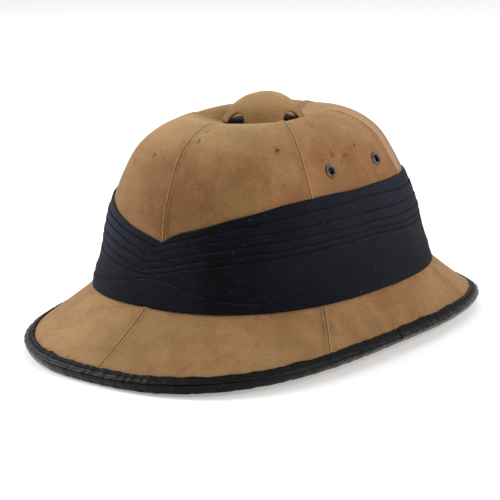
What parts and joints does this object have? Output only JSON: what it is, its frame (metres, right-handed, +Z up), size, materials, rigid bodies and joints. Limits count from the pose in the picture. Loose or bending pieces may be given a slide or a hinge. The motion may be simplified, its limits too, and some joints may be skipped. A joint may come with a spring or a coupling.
{
  "type": "pith helmet",
  "caption": "sun helmet with a stiff cloth-covered crown and brim, pleated cloth wrap, leather-bound edge, ventilator cap and side eyelets",
  "frame": {"origin": "centre of the brim's outline, at the level that the brim edge stands on", "axes": "+X the wearer's left, +Y the wearer's back, +Z up"},
  "size_m": [0.2448, 0.3299, 0.1564],
  "materials": {
    "pith_body": "pressed pith under a plain lining",
    "cover": "worn cotton drill",
    "wrap": "pleated navy cotton",
    "binding": "glossy, scuffed",
    "cap_cover": "worn cotton drill",
    "eyelet": "dull, darkened"
  },
  "bodies": {
    "root": {"pith_body": "pith_body", "cover_gore_1": "cover", "cover_gore_2": "cover", "cover_gore_3": "cover", "cover_gore_4": "cover", "cover_gore_5": "cover", "cover_gore_6": "cover", "pleated_wrap": "wrap", "edge_binding": "binding", "ventilator_cap": "cap_cover", "eyelet_left_front": "eyelet", "eyelet_left_rear": "eyelet", "eyelet_right_front": "eyelet", "eyelet_right_rear": "eyelet"}
  },
  "joints": []
}
